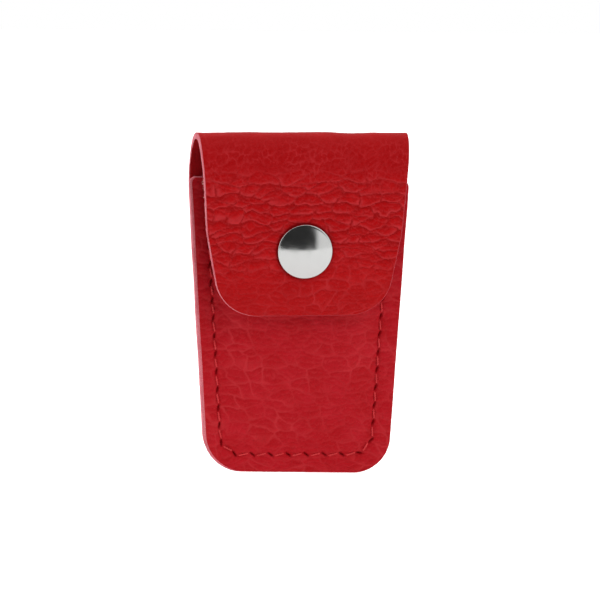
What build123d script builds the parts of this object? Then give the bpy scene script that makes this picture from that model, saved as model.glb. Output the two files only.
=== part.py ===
"""Small leather case with a snap-down flap, standing upright on its bottom seam.

Millimetres. +Z up, the flap and its snap face -Y, the width runs along X.
The origin is at the middle of the case's depth and width, level with its foot.

Two pieces of leather make the case. The front panel is stitched to the back
panel along both sides and the foot, and stands off it towards the mouth, so
that they form a shallow wedge-shaped pocket. The back panel carries on over
the mouth as a roll and comes down in front as the flap. A post-and-socket snap
holds the flap to the front panel. The roll is cut into strips, each hinged to
the next on the grain side, so that the fold can open flat.

Profiles are drawn as (depth, height): depth is measured forward (-Y) from the
seam plane, where the two panels meet, and height from the foot. Every solid is
moved into the case's own frame when it is written.
"""

import os
from math import cos, degrees, hypot, radians, sin

from build123d import *

# ---------------------------------------------------------------- leather
LEATHER = 1.6             # thickness of both cut pieces
BODY_HEIGHT = 80.5        # foot to the top of the roll
MOUTH_HEIGHT = 69.3       # foot to the front panel's open edge
MOUTH_HALF_WIDTH = 25.6   # half the body's width at the mouth
FOOT_HALF_WIDTH = 21.6    # the same at the foot, before its corners
ROLL_HALF_WIDTH = 24.2    # half the width of the leather over the roll
BODY_CORNER = 8.6         # the body's two bottom corners

# ---------------------------------------------------------------- pocket
MOUTH_RISE = 5.5          # front panel's flesh side off the back panel, at the mouth
PANEL_LEAN = 5.0          # degrees by which the front panel closes on the back one, downwards
RAMP_INSET = 6.6          # cut edge to where the front panel starts to rise
RAMP_ANGLE = 26.0         # degrees of that rise, along both sides

# ---------------------------------------------------------------- flap
WAIST_HEIGHT = 57.9       # where the flap starts to narrow faster
WAIST_HALF_WIDTH = 22.3   # half its width there
WAIST_RADIUS = 30.0       # softening of that change
TIP_HEIGHT = 38.6         # the flap's lower edge above the foot
TIP_HALF_WIDTH = 18.7     # half the flap's width at its lower edge, before its corners
TIP_CORNER = 10.0         # the flap's two rounded corners
FLAP_GAP = 3.2            # front panel to the flap's flesh side
CURL_LENGTH = 10.0        # the last of the flap curls in towards the front panel
CURL_RADIUS = 50.0        # grain side of that curl
SLOW_RADIUS = 11.0        # grain side of the last, slower part of the roll
SLOW_SWEEP = 35.0         # degrees of bend in that part
STRIPS = 2                # strips between the back panel and the flap
STRIP_GAP = 0.12          # between one strip and the next

# ---------------------------------------------------------------- stitching
STITCH_PITCH = 4.2        # hole to hole, nominal
SEAM_INSET = 4.15         # side edge to stitch line
SEAM_FOOT = 4.6           # foot edge to stitch line
SEAM_SHIFT = 0.25         # the stitch line sits this far to the left
SEAM_TOP_GAP = 2.4        # mouth to the first and last holes
THREAD_RADIUS = 0.24
HOLE_RADIUS = 0.62
GROOVE_WIDTH = 0.8        # the thread lies in a shallow groove
GROOVE_DEPTH = 0.3
THREAD_SEAT = 0.02        # thread to the bottom of its groove
LEG_OFFSET = 0.3          # a stitch's leg from the middle of its hole

# ---------------------------------------------------------------- snap
SNAP_HEIGHT = 54.0        # where the snap's axis crosses the flap's grain side
METAL = 0.3               # sheet that the snap's parts are pressed from
CONTACT_GAP = 0.02        # between parts that touch
POST_FIT = 0.05           # round each post in the holes that it passes
CAP_RADIUS = 6.25
CAP_CROWN = 1.6           # the cap's highest point above the flap
CAP_RIM = 0.55            # height of the rim under the dome
CAP_LIP = 1.2             # how far the rim is turned in, under the post's head
CAP_POST_RADIUS = 1.3     # outside of the cap's tubular post
CAP_POST_BORE = 0.9
CAP_POST_HEAD = 5.4       # head of the post, held in the cap by its lip
CAP_POST_ROLL = 2.2       # its other end, rolled over in the socket
SOCKET_RADIUS = 5.4
SOCKET_MOUTH = 2.35       # hole that the stud enters
SOCKET_LIFT = 0.2         # closed socket above the stud's flange
SPRING_WIRE = 0.2         # radius of the spring's wire
SPRING_FIT = 0.05         # spring's legs to the stud's neck
SPRING_REACH = 3.0        # length of its legs each way from the axis
STUD_RADIUS = 4.9         # flange on the front panel
NECK_RADIUS = 1.45
NECK_TOP = 1.3            # the neck's top above the front panel
HEAD_RADIUS = 1.7         # the head is wider, so the spring's legs catch under it
HEAD_TOP = 1.9            # the head's top above the front panel
EYELET_RADIUS = 4.4       # flange inside the pocket
EYELET_TUBE = 0.95        # outside of the eyelet's tube
EYELET_BORE = 0.6
EYELET_ROLL = 1.45        # the tube's end, rolled over the stud's head

# ---------------------------------------------------------------- worked out
LEAN = radians(PANEL_LEAN)
FORWARD = (cos(LEAN), -sin(LEAN))           # (depth, height) square to the front panel
DOWNWARD = (-sin(LEAN), -cos(LEAN))         # (depth, height) down along it
FLAP_BACK = LEATHER + FLAP_GAP              # flesh side of the flap, from the panel's flesh side
FLAP_FACE = FLAP_BACK + LEATHER             # grain side of the flap, from the same
BACK_FACE = -LEATHER                        # depth of the back panel's grain side

# The roll is a back arc and a slower front arc, tangent where they join. The
# back arc's radius follows from the flap's grain side, which ends the roll.
SWEEP = 180.0 + PANEL_LEAN
SLOW_START = SWEEP - SLOW_SWEEP
SLOW_COS = cos(radians(SLOW_START))
SLOW_SIN = sin(radians(SLOW_START))
FLAP_OFFSET = FORWARD[0] * MOUTH_RISE + FORWARD[1] * MOUTH_HEIGHT + FLAP_FACE
ROLL_RADIUS = (
    FLAP_OFFSET - SLOW_RADIUS
    - FORWARD[0] * (BACK_FACE + SLOW_RADIUS * SLOW_COS)
    - FORWARD[1] * (BODY_HEIGHT - SLOW_RADIUS * SLOW_SIN)
) / (FORWARD[0] * (1 - SLOW_COS) - FORWARD[1] * (1 - SLOW_SIN))
ROLL_CENTRE = (BACK_FACE + ROLL_RADIUS, BODY_HEIGHT - ROLL_RADIUS)
SLOW_CENTRE = (
    ROLL_CENTRE[0] + (SLOW_RADIUS - ROLL_RADIUS) * SLOW_COS,
    ROLL_CENTRE[1] - (SLOW_RADIUS - ROLL_RADIUS) * SLOW_SIN,
)
STRIP_BEND = SWEEP / (STRIPS + 1)
JOINT_BENDS = [STRIP_BEND * (k + 0.5) for k in range(STRIPS + 1)]

# The snap's parts are measured forward from the front panel's flesh side.
SNAP_RUN = (MOUTH_HEIGHT + FORWARD[1] * FLAP_FACE - SNAP_HEIGHT) / cos(LEAN)
SNAP_ORIGIN = (MOUTH_RISE + DOWNWARD[0] * SNAP_RUN, MOUTH_HEIGHT + DOWNWARD[1] * SNAP_RUN)
SNAP_PLANE = Plane(
    origin=(0, -SNAP_ORIGIN[0], SNAP_ORIGIN[1]),
    x_dir=(1, 0, 0),
    z_dir=(0, -FORWARD[0], FORWARD[1]),
)
STUD_BASE = LEATHER + METAL                 # top of the stud's flange
SOCKET_BASE = STUD_BASE + SOCKET_LIFT       # the closed socket's underside
SOCKET_TOP = FLAP_BACK - CONTACT_GAP        # the socket's other face, on the flap

# Middle of the case's depth, between the back panel and the roll's front.
ROLL_FRONT = SLOW_CENTRE[0] + SLOW_RADIUS
CAP_FRONT = SNAP_ORIGIN[0] + FORWARD[0] * (FLAP_FACE + CAP_CROWN)
SEAM_Y = (max(ROLL_FRONT, CAP_FRONT) + BACK_FACE) / 2


# ---------------------------------------------------------------- helpers
def roll_point(bend, inside=0.0):
    """(depth, height) on the roll after so many degrees of bend, so far in from its grain side."""
    angle = radians(bend)
    centre, radius = (ROLL_CENTRE, ROLL_RADIUS) if bend <= SLOW_START else (SLOW_CENTRE, SLOW_RADIUS)
    return (
        centre[0] - (radius - inside) * cos(angle),
        centre[1] + (radius - inside) * sin(angle),
    )


def flap_point(run, off):
    """(depth, height) beside the flap: down from the roll's end, and off the panel's flesh side."""
    start = roll_point(SWEEP, FLAP_FACE - off)
    return start[0] + DOWNWARD[0] * run, start[1] + DOWNWARD[1] * run


def side_wire(*parts):
    """A closed face in the side view from lines and arcs given as (depth, height) points."""
    edges = []
    for part in parts:
        points = [(-depth, height) for depth, height in part]
        edges.append(Line(*points) if len(points) == 2 else ThreePointArc(*points))
    return Plane.YZ * make_face(edges)


def across(face):
    """A side-view face pushed out both ways, wider than the case."""
    return extrude(face, amount=2 * MOUTH_HALF_WIDTH, both=True)


def front_prism(points, radii):
    """A prism along the case's depth. Each (x, height) corner with its mirror image has one radius."""
    outline = [(x, height) for x, height in points] + [(-x, height) for x, height in reversed(points)]
    face = make_face(Polyline(*outline, close=True))
    for (x, height), radius in zip(points, radii):
        if radius:
            corners = [v for v in face.vertices() if abs(abs(v.X) - x) < 1e-6 and abs(v.Y - height) < 1e-6]
            face = fillet(corners, radius)
    return extrude(Plane.XZ * face, amount=3 * BODY_HEIGHT / 4, both=True)


def body_half_width(height):
    """Half the body's width, up to the mouth."""
    return FOOT_HALF_WIDTH + (MOUTH_HALF_WIDTH - FOOT_HALF_WIDTH) * height / MOUTH_HEIGHT


def body_outline(top):
    """The body's front view, ended at the mouth or carried on to the top of the roll."""
    points = [(FOOT_HALF_WIDTH, 0), (MOUTH_HALF_WIDTH, MOUTH_HEIGHT)]
    radii = [BODY_CORNER, 0]
    if top > MOUTH_HEIGHT:
        points.append((ROLL_HALF_WIDTH, BODY_HEIGHT))
        radii.append(0)
    return front_prism(points, radii)


def flap_outline():
    """The flap's front view, from its rounded tip to the top of the roll."""
    points = [
        (TIP_HALF_WIDTH, TIP_HEIGHT),
        (WAIST_HALF_WIDTH, WAIST_HEIGHT),
        (ROLL_HALF_WIDTH, BODY_HEIGHT),
    ]
    return front_prism(points, [TIP_CORNER, WAIST_RADIUS, 0])


def roll_arc(first, last):
    """The leather between two amounts of bend, as a side-view face."""
    middle = (first + last) / 2
    if first < SLOW_START < last:
        join = SLOW_START
        return side_wire(
            (roll_point(first), roll_point((first + join) / 2), roll_point(join)),
            (roll_point(join), roll_point((join + last) / 2 + 1e-6), roll_point(last)),
            (roll_point(last), roll_point(last, LEATHER)),
            (roll_point(last, LEATHER), roll_point((join + last) / 2 + 1e-6, LEATHER), roll_point(join, LEATHER)),
            (roll_point(join, LEATHER), roll_point((first + join) / 2, LEATHER), roll_point(first, LEATHER)),
            (roll_point(first, LEATHER), roll_point(first)),
        )
    return side_wire(
        (roll_point(first), roll_point(middle), roll_point(last)),
        (roll_point(last), roll_point(last, LEATHER)),
        (roll_point(last, LEATHER), roll_point(middle, LEATHER), roll_point(first, LEATHER)),
        (roll_point(first, LEATHER), roll_point(first)),
    )


def half_gap(joint):
    """Degrees of bend taken by half the gap at a joint, on the flesh side where it is narrowest."""
    radius = ROLL_RADIUS if JOINT_BENDS[joint] <= SLOW_START else SLOW_RADIUS
    return degrees(STRIP_GAP / 2 / (radius - LEATHER))


def turned(profile):
    """A ring or disc about the snap's axis. The profile's points are (radius, distance forward)."""
    section = make_face(Plane.XZ * Polyline(*profile, close=True))
    return SNAP_PLANE * revolve(section, Axis.Z)


def ring(outer, inner, start, end):
    """A plain ring about the snap's axis."""
    return turned([(inner, start), (outer, start), (outer, end), (inner, end)])


# ---------------------------------------------------------------- seam
def seam_holes():
    """(x, height) of every needle hole, down the left side, along the foot and up the right."""
    low = SEAM_FOOT
    top = MOUTH_HEIGHT - SEAM_TOP_GAP
    foot_x = body_half_width(low) - SEAM_INSET
    top_x = body_half_width(top) - SEAM_INSET
    track = FilletPolyline(
        (-top_x - SEAM_SHIFT, top), (-foot_x - SEAM_SHIFT, low),
        (foot_x - SEAM_SHIFT, low), (top_x - SEAM_SHIFT, top),
        radius=BODY_CORNER - SEAM_INSET,
    )
    count = round(track.length / STITCH_PITCH)
    spots = [track @ (k / count) for k in range(count + 1)]
    return [(spot.X, spot.Y) for spot in spots]


def needle_holes():
    """The needle holes, through both panels."""
    discs = Sketch() + [Pos(x, height) * Circle(HOLE_RADIUS) for x, height in seam_holes()]
    return extrude(Plane.XZ * discs, amount=2 * LEATHER, both=True)


def groove(side):
    """The groove from hole to hole, in the grain of the front panel (side 1) or the back panel (-1)."""
    track = trace(Polyline(*seam_holes()), GROOVE_WIDTH)
    bottom = side * (LEATHER - GROOVE_DEPTH)
    return extrude(Plane.XZ.offset(bottom) * track, amount=side * 2 * GROOVE_DEPTH)


def thread(side):
    """One thread of the seam, on one side: a bar from hole to hole, dipping into each hole."""
    holes = seam_holes()
    top = LEATHER - GROOVE_DEPTH + THREAD_SEAT + THREAD_RADIUS
    dip = THREAD_SEAT + THREAD_RADIUS
    path = []
    for (x, height), (next_x, next_height) in zip(holes, holes[1:]):
        run = hypot(next_x - x, next_height - height)
        step = (LEG_OFFSET * (next_x - x) / run, LEG_OFFSET * (next_height - height) / run)
        first = (x + step[0], height + step[1])
        last = (next_x - step[0], next_height - step[1])
        path += [(*first, dip), (*first, top), (*last, top), (*last, dip)]
    wire = Polyline(*[(x, -side * depth, height) for x, height, depth in path])
    start = Plane(origin=wire @ 0, z_dir=wire % 0)
    return sweep(start * Circle(THREAD_RADIUS), path=wire, transition=Transition.RIGHT)


# ---------------------------------------------------------------- leather pieces
def rectangle(back, front, low, high):
    """A box across the whole width, between two depths and two heights."""
    corners = [(back, low), (front, low), (front, high), (back, high)]
    return across(side_wire(*zip(corners, corners[1:] + corners[:1])))


def hip(base, offset):
    """The raised part of the front panel: a solid from depth base to its grain or flesh side."""
    over = 2 * MOUTH_HEIGHT
    lean = Plane(
        origin=(0, -MOUTH_RISE - FORWARD[0] * offset, MOUTH_HEIGHT + FORWARD[1] * offset),
        x_dir=(1, 0, 0),
        z_dir=(0, -FORWARD[0], FORWARD[1]),
    )
    solid = split(rectangle(base, MOUTH_HEIGHT, 0, over), bisect_by=lean, keep=Keep.BOTTOM)
    side = Vector(MOUTH_HALF_WIDTH - FOOT_HALF_WIDTH, 0, MOUTH_HEIGHT).normalized()
    tilt = radians(RAMP_ANGLE)
    for hand in (1, -1):
        normal = Vector(hand * side.Z * sin(tilt), -cos(tilt), -side.X * sin(tilt))
        foot = Vector(hand * (FOOT_HALF_WIDTH - RAMP_INSET), 0, 0)
        ramp = Plane(origin=foot + normal * offset, z_dir=normal)
        solid = split(solid, bisect_by=ramp, keep=Keep.BOTTOM)
    return solid


def front_panel():
    """The pocket's front: a flat margin round its sides and foot, rising towards the mouth."""
    panel = rectangle(0, LEATHER, 0, MOUTH_HEIGHT) + hip(0, LEATHER) - hip(-LEATHER, 0)
    panel = panel & body_outline(MOUTH_HEIGHT)
    panel -= groove(1)
    panel -= needle_holes()
    return panel - ring(EYELET_TUBE + POST_FIT, 0, -LEATHER, 2 * LEATHER)


def back_panel():
    """The case's flat back, and the first part of the roll that grows out of its top."""
    last = JOINT_BENDS[0] - half_gap(0)
    straight = rectangle(BACK_FACE, 0, 0, ROLL_CENTRE[1])
    panel = (straight + across(roll_arc(0, last))) & body_outline(BODY_HEIGHT)
    panel -= groove(-1)
    return panel - needle_holes()


def fold_strip(k):
    """Strip k of the roll, from one hinge to the next, cut like the panel on its side of the top."""
    first = JOINT_BENDS[k] + half_gap(k)
    last = JOINT_BENDS[k + 1] - half_gap(k + 1)
    outline = body_outline(BODY_HEIGHT) if first + last < 180 else flap_outline()
    return across(roll_arc(first, last)) & outline


def flap_panel():
    """The flap: the last part of the roll, a straight fall past the snap, and a curled-in tip."""
    first = JOINT_BENDS[-1] + half_gap(STRIPS)
    straight = (roll_point(SWEEP)[1] - TIP_HEIGHT) / cos(LEAN) - CURL_LENGTH
    centre = flap_point(straight, FLAP_FACE - CURL_RADIUS)
    turn = CURL_LENGTH / CURL_RADIUS

    def curl(share, radius):
        angle = LEAN + share * turn
        return centre[0] + radius * cos(angle), centre[1] - radius * sin(angle)

    outer = [curl(share, CURL_RADIUS) for share in (0, 0.6, 1.2)]
    inner = [curl(share, CURL_RADIUS - LEATHER) for share in (1.2, 0.6, 0)]
    top_outer, top_inner = roll_point(SWEEP), roll_point(SWEEP, LEATHER)
    fall = side_wire(
        (top_outer, outer[0]), tuple(outer), (outer[2], inner[0]),
        tuple(inner), (inner[2], top_inner), (top_inner, top_outer),
    )
    flap = (across(roll_arc(first, SWEEP)) + across(fall)) & flap_outline()
    return flap - ring(CAP_POST_RADIUS + POST_FIT, 0, LEATHER + METAL, FLAP_FACE + LEATHER)


# ---------------------------------------------------------------- snap
def dome_arc(radius, crown):
    """Half the outline of a dome on the flap: from its crown on the axis to its rim."""
    height = crown - CAP_RIM
    sphere = (radius**2 + height**2) / (2 * height)
    middle = (sphere**2 - radius**2 / 4) ** 0.5 - sphere + height
    return ThreePointArc(
        (0, FLAP_FACE + crown), (radius / 2, FLAP_FACE + CAP_RIM + middle), (radius, FLAP_FACE + CAP_RIM)
    )


def snap_cap():
    """The domed cap, with its rim turned in under the head of its post."""
    edge = CAP_RADIUS - METAL
    outer = dome_arc(CAP_RADIUS, CAP_CROWN)
    inner = dome_arc(edge, CAP_CROWN - METAL)
    rim = Polyline(
        (CAP_RADIUS, FLAP_FACE + CAP_RIM),
        (CAP_RADIUS, FLAP_FACE + METAL / 2),
        (CAP_RADIUS - METAL / 2, FLAP_FACE + CONTACT_GAP),
        (CAP_RADIUS - CAP_LIP, FLAP_FACE + CONTACT_GAP),
        (CAP_RADIUS - CAP_LIP, FLAP_FACE + METAL / 2),
        (edge, FLAP_FACE + METAL / 2),
        (edge, FLAP_FACE + CAP_RIM),
    )
    axis = Line((0, FLAP_FACE + CAP_CROWN - METAL), (0, FLAP_FACE + CAP_CROWN))
    section = make_face(outer.edges() + rim.edges() + inner.edges() + axis.edges())
    return SNAP_PLANE * revolve(Plane.XZ * section, Axis.Z)


def cap_post():
    """A tubular post: a wide head held inside the cap, and a rolled end inside the socket."""
    head = FLAP_FACE + METAL / 2 + CONTACT_GAP
    roll = SOCKET_TOP - METAL - CONTACT_GAP
    return turned([
        (CAP_POST_BORE, roll - METAL), (CAP_POST_ROLL - METAL / 2, roll - METAL),
        (CAP_POST_ROLL, roll - METAL / 2), (CAP_POST_ROLL, roll), (CAP_POST_RADIUS, roll),
        (CAP_POST_RADIUS, head), (CAP_POST_HEAD, head), (CAP_POST_HEAD, head + METAL),
        (CAP_POST_BORE, head + METAL),
    ])


def snap_socket():
    """The socket under the flap: a flat round can, open for the post above and the stud below."""
    wall = SOCKET_RADIUS - METAL
    return turned([
        (SOCKET_MOUTH, SOCKET_BASE), (SOCKET_RADIUS - METAL, SOCKET_BASE),
        (SOCKET_RADIUS, SOCKET_BASE + METAL), (SOCKET_RADIUS, SOCKET_TOP),
        (CAP_POST_RADIUS + POST_FIT, SOCKET_TOP), (CAP_POST_RADIUS + POST_FIT, SOCKET_TOP - METAL),
        (wall, SOCKET_TOP - METAL), (wall, SOCKET_BASE + METAL), (SOCKET_MOUTH, SOCKET_BASE + METAL),
    ])


def socket_spring():
    """A hairpin of wire in the socket. Its two legs pass either side of the stud's neck."""
    apart = NECK_RADIUS + SPRING_FIT + SPRING_WIRE
    path = Wire(
        Line((-apart, -SPRING_REACH), (-apart, SPRING_REACH - apart)).edges()
        + ThreePointArc(
            (-apart, SPRING_REACH - apart), (0, SPRING_REACH), (apart, SPRING_REACH - apart)
        ).edges()
        + Line((apart, SPRING_REACH - apart), (apart, -SPRING_REACH)).edges()
    )
    section = Plane(origin=path @ 0, z_dir=path % 0) * Circle(SPRING_WIRE)
    lift = SOCKET_BASE + METAL + CONTACT_GAP + SPRING_WIRE
    return SNAP_PLANE * (Pos(0, 0, lift) * sweep(section, path=path))


def snap_stud():
    """The stud on the front panel: a flange, a neck, and a head that the spring catches under."""
    bore = EYELET_TUBE + CONTACT_GAP
    round_off = 0.2
    return turned([
        (bore, LEATHER + CONTACT_GAP), (STUD_RADIUS, LEATHER + CONTACT_GAP),
        (STUD_RADIUS, LEATHER + METAL / 2), (STUD_RADIUS - METAL / 2, STUD_BASE), (NECK_RADIUS, STUD_BASE),
        (NECK_RADIUS, LEATHER + NECK_TOP), (HEAD_RADIUS, LEATHER + NECK_TOP + round_off / 2),
        (HEAD_RADIUS, LEATHER + HEAD_TOP - round_off), (HEAD_RADIUS - round_off, LEATHER + HEAD_TOP),
        (bore, LEATHER + HEAD_TOP),
    ])


def stud_eyelet():
    """The eyelet that holds the stud: a flange in the pocket, and a tube rolled over the stud's head."""
    top = LEATHER + HEAD_TOP + CONTACT_GAP
    return turned([
        (EYELET_BORE, -CONTACT_GAP - METAL), (EYELET_RADIUS - METAL / 2, -CONTACT_GAP - METAL),
        (EYELET_RADIUS, -CONTACT_GAP - METAL / 2), (EYELET_RADIUS, -CONTACT_GAP),
        (EYELET_TUBE, -CONTACT_GAP), (EYELET_TUBE, top), (EYELET_ROLL, top),
        (EYELET_ROLL, top + METAL / 2), (EYELET_ROLL - METAL / 2, top + METAL),
        (EYELET_BORE, top + METAL),
    ])


# ---------------------------------------------------------------- writing
def write(node, solid):
    """Move a solid into the case's frame and write it."""
    export_step(Pos(0, SEAM_Y, 0) * solid, f"parts/{node}.step")


os.makedirs("parts", exist_ok=True)
write("back_panel", back_panel())
write("front_panel", front_panel())
for number in range(STRIPS):
    write(f"fold_strip_{number + 1}", fold_strip(number))
write("flap_panel", flap_panel())
write("needle_thread", thread(1))
write("bobbin_thread", thread(-1))
write("snap_cap", snap_cap())
write("cap_post", cap_post())
write("snap_socket", snap_socket())
write("socket_spring", socket_spring())
write("snap_stud", snap_stud())
write("stud_eyelet", stud_eyelet())
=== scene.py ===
"""A small red leather case with a snap-down flap, standing in a plain pale studio.

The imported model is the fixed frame: it says where every part sits. The two
pieces of leather, the two threads and the snap's cap are made again here with
their real surface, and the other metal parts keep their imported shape.

Leather is drawn flat, as it is cut: x runs across the case and run goes along
the leather, both in millimetres. A place function then bends it into the case.
Depth is measured forward (-Y) from the seam plane, as in the part's source.
"""

from math import asin, cos, pi, radians, sin, tan

import bpy
import numpy as np
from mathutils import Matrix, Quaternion, Vector

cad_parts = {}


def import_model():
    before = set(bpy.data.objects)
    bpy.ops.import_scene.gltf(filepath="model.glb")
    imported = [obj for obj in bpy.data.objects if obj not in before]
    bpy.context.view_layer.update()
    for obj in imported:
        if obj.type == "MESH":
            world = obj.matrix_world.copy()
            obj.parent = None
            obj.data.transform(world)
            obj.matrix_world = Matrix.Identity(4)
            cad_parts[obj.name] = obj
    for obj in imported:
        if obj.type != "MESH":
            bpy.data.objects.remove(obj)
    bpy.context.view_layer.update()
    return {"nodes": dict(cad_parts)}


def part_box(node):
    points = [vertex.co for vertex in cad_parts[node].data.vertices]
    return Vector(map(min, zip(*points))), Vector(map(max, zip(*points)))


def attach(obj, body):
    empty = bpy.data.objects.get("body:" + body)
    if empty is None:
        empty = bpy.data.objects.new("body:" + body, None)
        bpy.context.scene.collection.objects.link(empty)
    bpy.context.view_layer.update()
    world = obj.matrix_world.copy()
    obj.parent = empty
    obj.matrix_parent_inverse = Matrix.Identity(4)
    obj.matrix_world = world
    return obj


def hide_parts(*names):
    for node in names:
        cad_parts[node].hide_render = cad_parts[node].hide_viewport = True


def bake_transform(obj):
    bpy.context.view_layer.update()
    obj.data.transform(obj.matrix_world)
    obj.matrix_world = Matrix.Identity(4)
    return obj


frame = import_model()

MM = 0.001

# ---------------------------------------------------------------- leather, as cut
LEATHER = 1.6             # thickness of both pieces
MOUTH_HALF_WIDTH = 25.6
FOOT_HALF_WIDTH = 21.6
ROLL_HALF_WIDTH = 24.2
BODY_CORNER = 8.6
MOUTH_CORNER = 1.6        # the front panel's two top corners, eased by hand
MOUTH_BEND = 60.0         # radius of the long piece's sides at the mouth
MOUTH_RISE = 5.5
PANEL_LEAN = 5.0
RAMP_INSET = 6.6
RAMP_ANGLE = 26.0
RAMP_SOFTNESS = 2.2       # how far the front panel's folds are rounded, at the middle and at the margin
MARGIN_SOFTNESS = 0.7
WAIST_HEIGHT = 57.9
WAIST_HALF_WIDTH = 22.3
WAIST_RADIUS = 30.0
TIP_HALF_WIDTH = 18.7
TIP_CORNER = 10.0
FLAP_GAP = 3.2
CURL_LENGTH = 10.0
CURL_RADIUS = 50.0
SLOW_RADIUS = 11.0
SLOW_SWEEP = 35.0
HINGES = 3

# ---------------------------------------------------------------- stitching
STITCH_PITCH = 4.2
SEAM_INSET = 4.15
SEAM_FOOT = 4.6
SEAM_SHIFT = 0.25
SEAM_TOP_GAP = 2.4
PLY_RADIUS = 0.125        # each thread is two plies, twisted
PLY_OFFSET = 0.09
TWIST_PITCH = 1.15
SLIT_LENGTH = 1.65        # the awl's slits lie slantwise to the seam
SLIT_WIDTH = 0.42
SLIT_DEPTH = 0.62
SLIT_SLANT = 14.0         # on the sides; along the foot they slant by more
FOOT_SLANT = 24.0
GROOVE_WIDTH = 0.8
GROOVE_DEPTH = 0.16
DRAW_IN = 0.10            # the stitching draws the leather in by this, beside the row and round each slit
DRAW_IN_ALONG = 1.6
DRAW_IN_ROUND = 1.3
THREAD_STEP = 0.11        # from one ring of a thread's mesh to the next
THREAD_SIDES = 8
STITCH_SWING = 0.42       # a stitch leaves its slit this share of the slit's length from its middle
STITCH_TURN = 0.14        # and turns into line over this share of the stitch
THREAD_SEAT = 0.02        # how far the thread's middle lies under the grain between slits
THREAD_DIVE = 1.25        # how far it goes down into a slit
DIVE_START = 0.52         # where it dives, from 0 in the middle of a stitch to 1 at the slit
DIVE_END = 0.84
PLY_MARK_SCALE = 0.4      # the filaments are drawn out along the ply by this

# ---------------------------------------------------------------- cut edges
# Bevels: how far in from the cut the grain stops, on the left, on the right and at both ends.
STRAP_BEVELS = (0.26, 0.2, 0.2)
PANEL_BEVELS = (0.66, 0.24, 0.2)
STRAP_COLUMNS = 220
PANEL_COLUMNS = 238
BACK_SPACING = 0.32       # from row to row of the mesh, on the back
FINE_SPACING = 0.22       # and on the roll, the flap and the front
EDGE_WANDER = 0.10        # a hand-cut edge is never quite straight
EDGE_FRAY = 0.035
NAP = 0.02                # the flesh side's unevenness

# ---------------------------------------------------------------- loose fibres on the flap's left edge
FIBRES = 22
FIBRE_RADIUS = 0.045
FIBRE_REACH = 9.0         # they lie within this of the roll
FIBRE_INSET = 0.3         # rooted this far in from the cut
FIBRE_ROOT = 0.5          # and this far in from the grain side

# ---------------------------------------------------------------- cut and sewn by hand, so never quite even
SKEW = 0.0035             # the case leans this much to the left as it rises
SKEW_MIDDLE = 40.0
FOOT_RISE_LEFT = 0.75     # the left end of the foot is cut this much higher
FOOT_CORNER_LEFT = 9.4
FOOT_CORNER_RIGHT = 8.5
MOUTH_LIFT_LEFT = 0.7     # the front panel's top corners, above or below the mouth's height
MOUTH_LIFT_RIGHT = -0.2

# ---------------------------------------------------------------- from the frame


def low(node):
    """A CAD node's lowest corner, in millimetres."""
    return np.array(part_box(node)[0]) / MM


def high(node):
    """A CAD node's highest corner, in millimetres."""
    return np.array(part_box(node)[1]) / MM


SEAM_Y = high("front_panel")[1]
MOUTH_HEIGHT = high("front_panel")[2]
BODY_HEIGHT = high("fold_strip_1")[2]
TIP_HEIGHT = low("flap_panel")[2]
BACK_FACE = SEAM_Y - high("back_panel")[1]

LEAN = radians(PANEL_LEAN)
FORWARD = (cos(LEAN), -sin(LEAN))
DOWNWARD = (-sin(LEAN), -cos(LEAN))
FLAP_FACE = 2 * LEATHER + FLAP_GAP
SWEEP = pi + LEAN
SLOW_START = SWEEP - radians(SLOW_SWEEP)
FLAP_OFFSET = FORWARD[0] * MOUTH_RISE + FORWARD[1] * MOUTH_HEIGHT + FLAP_FACE
ROLL_RADIUS = (
    FLAP_OFFSET - SLOW_RADIUS
    - FORWARD[0] * (BACK_FACE + SLOW_RADIUS * cos(SLOW_START))
    - FORWARD[1] * (BODY_HEIGHT - SLOW_RADIUS * sin(SLOW_START))
) / (FORWARD[0] * (1 - cos(SLOW_START)) - FORWARD[1] * (1 - sin(SLOW_START)))
ROLL_CENTRE = (BACK_FACE + ROLL_RADIUS, BODY_HEIGHT - ROLL_RADIUS)
SLOW_CENTRE = (
    ROLL_CENTRE[0] + (SLOW_RADIUS - ROLL_RADIUS) * cos(SLOW_START),
    ROLL_CENTRE[1] - (SLOW_RADIUS - ROLL_RADIUS) * sin(SLOW_START),
)

# Where each stretch of the long piece begins, measured along its grain side.
RUN_ROLL = ROLL_CENTRE[1]
RUN_SLOW = RUN_ROLL + ROLL_RADIUS * SLOW_START
RUN_FALL = RUN_SLOW + SLOW_RADIUS * (SWEEP - SLOW_START)
FALL_TOP = (SLOW_CENTRE[0] - SLOW_RADIUS * cos(SWEEP), SLOW_CENTRE[1] + SLOW_RADIUS * sin(SWEEP))
FALL_LENGTH = (FALL_TOP[1] - TIP_HEIGHT) / cos(LEAN) - CURL_LENGTH
RUN_CURL = RUN_FALL + FALL_LENGTH
CURL_CENTRE = (
    FALL_TOP[0] + DOWNWARD[0] * FALL_LENGTH - FORWARD[0] * CURL_RADIUS,
    FALL_TOP[1] + DOWNWARD[1] * FALL_LENGTH - FORWARD[1] * CURL_RADIUS,
)
CURL_END = asin((CURL_CENTRE[1] - TIP_HEIGHT) / CURL_RADIUS)
RUN_TIP = RUN_CURL + (CURL_END - LEAN) * CURL_RADIUS
RUN_TOP = RUN_ROLL + ROLL_RADIUS * pi / 2

CAP_CENTRE = (low("snap_cap") + high("snap_cap")) / 2
CAP_RADIUS = (high("snap_cap")[0] - low("snap_cap")[0]) / 2
RUN_SNAP = RUN_FALL + (FALL_TOP[1] - CAP_CENTRE[2]) / cos(LEAN)
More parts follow.
